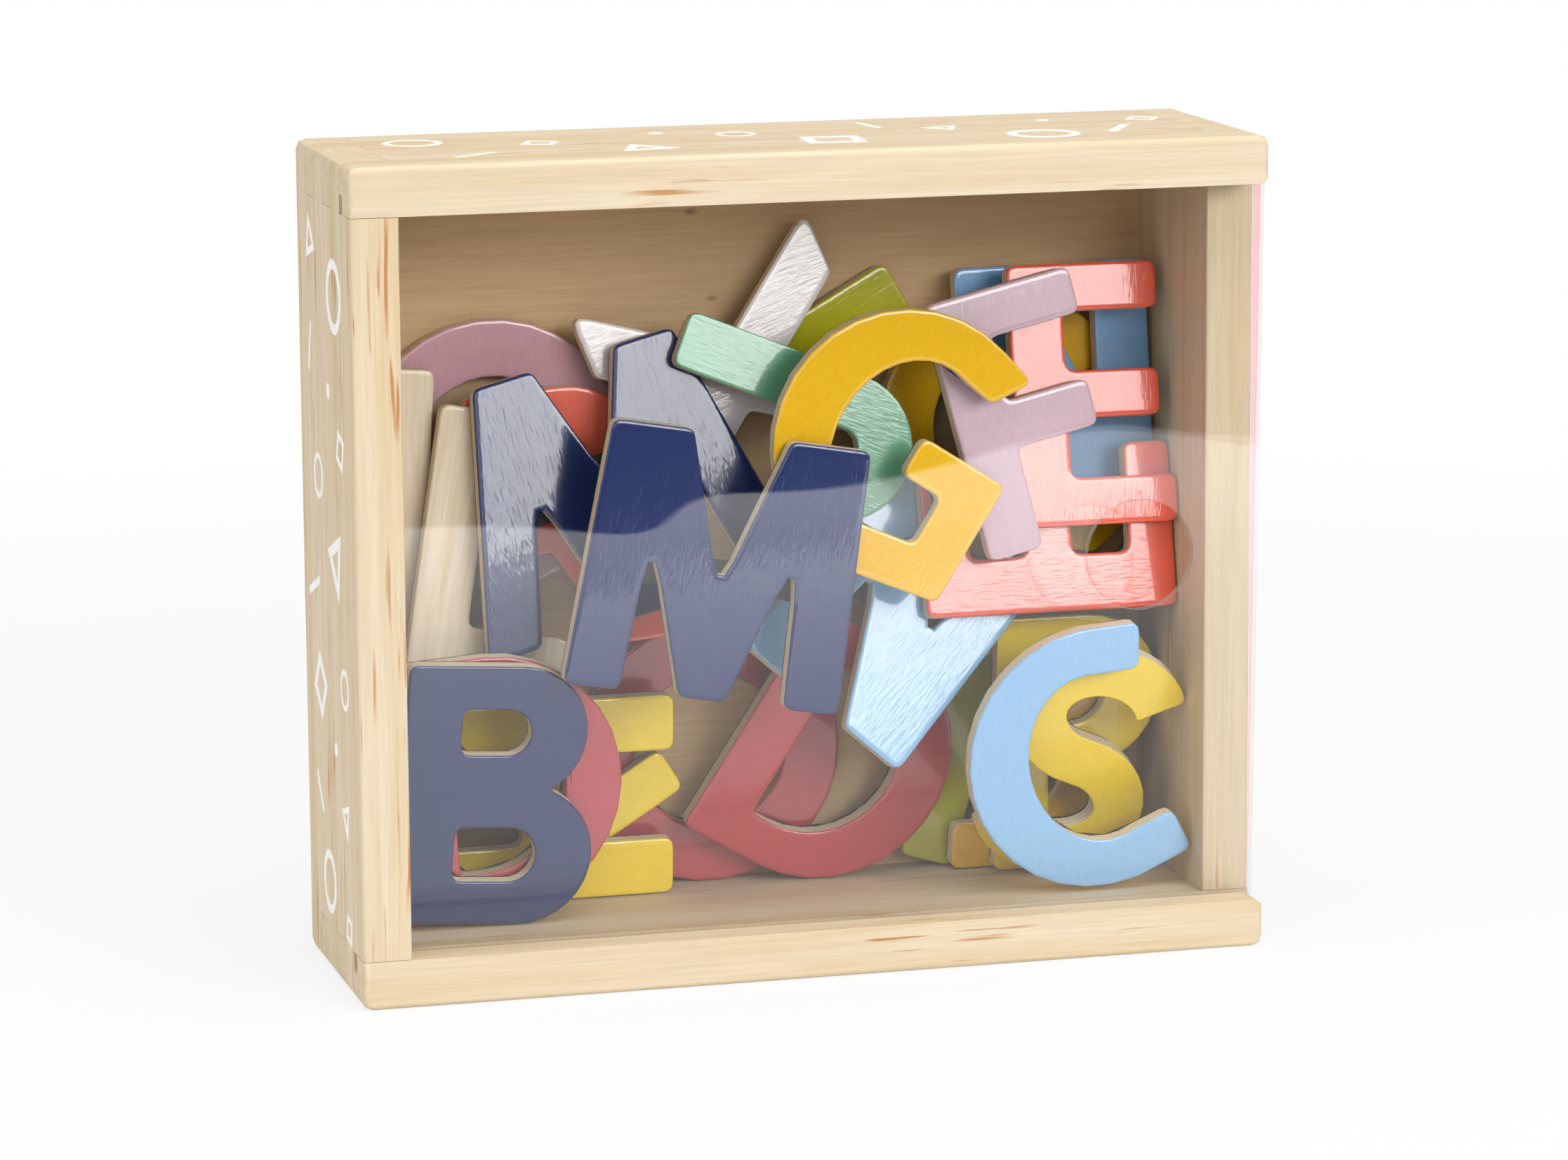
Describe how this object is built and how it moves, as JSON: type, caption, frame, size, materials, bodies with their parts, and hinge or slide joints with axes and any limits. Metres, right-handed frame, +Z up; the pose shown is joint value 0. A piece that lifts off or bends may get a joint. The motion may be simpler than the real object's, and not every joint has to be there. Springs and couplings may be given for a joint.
{
  "type": "magnetic letter set",
  "caption": "Finger-jointed wooden box with a clear lid that slides out sideways, filled with a heap of lacquered plywood letters that have magnetic backs.",
  "frame": {"origin": "on the ground under the middle of the box", "axes": "+X along the width, the way the lid slides open; +Y to the back panel; +Z up"},
  "size_m": [0.2018, 0.06, 0.178],
  "materials": {
    "pine": "bare sanded pine with fine resin streaks",
    "panel_plywood": "bare plywood",
    "clear_acrylic": "clear polished sheet",
    "magnetic_foil": "matt black flexible magnet sheet",
    "mauve_lacquer": "plywood with a gloss coloured lacquer face and bare edges",
    "lilac_lacquer": "plywood with a gloss coloured lacquer face and bare edges",
    "clear_lacquered_plywood": "plywood under clear lacquer",
    "ochre_lacquer": "plywood with a gloss coloured lacquer face and bare edges",
    "yellow_lacquer": "plywood with a gloss coloured lacquer face and bare edges",
    "lime_lacquer": "plywood with a gloss coloured lacquer face and bare edges",
    "dark_red_lacquer": "plywood with a gloss coloured lacquer face and bare edges",
    "rose_lacquer": "plywood with a gloss coloured lacquer face and bare edges",
    "orange_red_lacquer": "plywood with a gloss coloured lacquer face and bare edges",
    "coral_lacquer": "plywood with a gloss coloured lacquer face and bare edges",
    "white_lacquer": "plywood with a gloss coloured lacquer face and bare edges",
    "navy_lacquer": "plywood with a gloss coloured lacquer face and bare edges",
    "steel_blue_lacquer": "plywood with a gloss coloured lacquer face and bare edges",
    "light_blue_lacquer": "plywood with a gloss coloured lacquer face and bare edges",
    "mint_lacquer": "plywood with a gloss coloured lacquer face and bare edges"
  },
  "bodies": {
    "box_and_pile": {"top_wall": "pine", "bottom_wall": "pine", "left_wall": "pine", "right_wall": "pine", "back_panel": "panel_plywood", "mauve_o": "mauve_lacquer", "mauve_o_magnet": "magnetic_foil", "natural_i": "clear_lacquered_plywood", "natural_i_magnet": "magnetic_foil", "ochre_q": "ochre_lacquer", "ochre_q_magnet": "magnetic_foil", "lime_i": "lime_lacquer", "lime_i_magnet": "magnetic_foil", "dark_red_o": "dark_red_lacquer", "dark_red_o_magnet": "magnetic_foil", "lime_f": "lime_lacquer", "lime_f_magnet": "magnetic_foil", "ochre_c": "ochre_lacquer", "ochre_c_magnet": "magnetic_foil", "yellow_p": "yellow_lacquer", "yellow_p_magnet": "magnetic_foil", "yellow_s": "yellow_lacquer", "yellow_s_magnet": "magnetic_foil", "orange_r": "orange_red_lacquer", "orange_r_magnet": "magnetic_foil", "yellow_l": "yellow_lacquer", "yellow_l_magnet": "magnetic_foil", "dark_red_d": "dark_red_lacquer", "dark_red_d_magnet": "magnetic_foil", "white_x": "white_lacquer", "white_x_magnet": "magnetic_foil", "light_blue_n": "light_blue_lacquer", "light_blue_n_magnet": "magnetic_foil", "natural_l": "clear_lacquered_plywood", "natural_l_magnet": "magnetic_foil", "navy_w": "navy_lacquer", "navy_w_magnet": "magnetic_foil", "yellow_h": "yellow_lacquer", "yellow_h_magnet": "magnetic_foil", "rose_d": "rose_lacquer", "rose_d_magnet": "magnetic_foil", "navy_b": "navy_lacquer", "navy_b_magnet": "magnetic_foil", "light_blue_c": "light_blue_lacquer", "light_blue_c_magnet": "magnetic_foil"},
    "lid": {"sliding_lid": "clear_acrylic"},
    "steel_blue_n_letter": {"steel_blue_n": "steel_blue_lacquer", "steel_blue_n_magnet": "magnetic_foil"},
    "mint_j_letter": {"mint_j": "mint_lacquer", "mint_j_magnet": "magnetic_foil"},
    "coral_e_lying_letter": {"coral_e_lying": "coral_lacquer", "coral_e_lying_magnet": "magnetic_foil"},
    "coral_e_upright_letter": {"coral_e_upright": "coral_lacquer", "coral_e_upright_magnet": "magnetic_foil"},
    "lilac_f_letter": {"lilac_f": "lilac_lacquer", "lilac_f_magnet": "magnetic_foil"},
    "ochre_g_letter": {"ochre_g": "ochre_lacquer", "ochre_g_magnet": "magnetic_foil"},
    "navy_m_letter": {"navy_m": "navy_lacquer", "navy_m_magnet": "magnetic_foil"}
  },
  "joints": [
    {"name": "lid_slide", "type": "slide", "parent": "box_and_pile", "child": "lid", "axis": [1, 0, 0], "range_m": [0, 0.18]},
    {"name": "steel_blue_n_lift", "type": "slide", "parent": "box_and_pile", "child": "steel_blue_n_letter", "axis": [0, 0.1045, 0.9945], "range_m": [0, 0.017]},
    {"name": "mint_j_lift", "type": "slide", "parent": "box_and_pile", "child": "mint_j_letter", "axis": [0, 0.1564, 0.9877], "range_m": [0, 0.026]},
    {"name": "coral_e_lying_lift", "type": "slide", "parent": "box_and_pile", "child": "coral_e_lying_letter", "axis": [0, 0.2079, 0.9781], "range_m": [0, 0.03]},
    {"name": "coral_e_upright_lift", "type": "slide", "parent": "box_and_pile", "child": "coral_e_upright_letter", "axis": [0, 0.1908, 0.9816], "range_m": [0, 0.019]},
    {"name": "lilac_f_lift", "type": "slide", "parent": "box_and_pile", "child": "lilac_f_letter", "axis": [0, 0.1392, 0.9903], "range_m": [0, 0.019]},
    {"name": "ochre_g_lift", "type": "slide", "parent": "box_and_pile", "child": "ochre_g_letter", "axis": [0, 0.0349, 0.9994], "range_m": [0, 0.025]},
    {"name": "navy_m_lift", "type": "slide", "parent": "box_and_pile", "child": "navy_m_letter", "axis": [0, 0.0175, 0.9998], "range_m": [0, 0.044]}
  ]
}
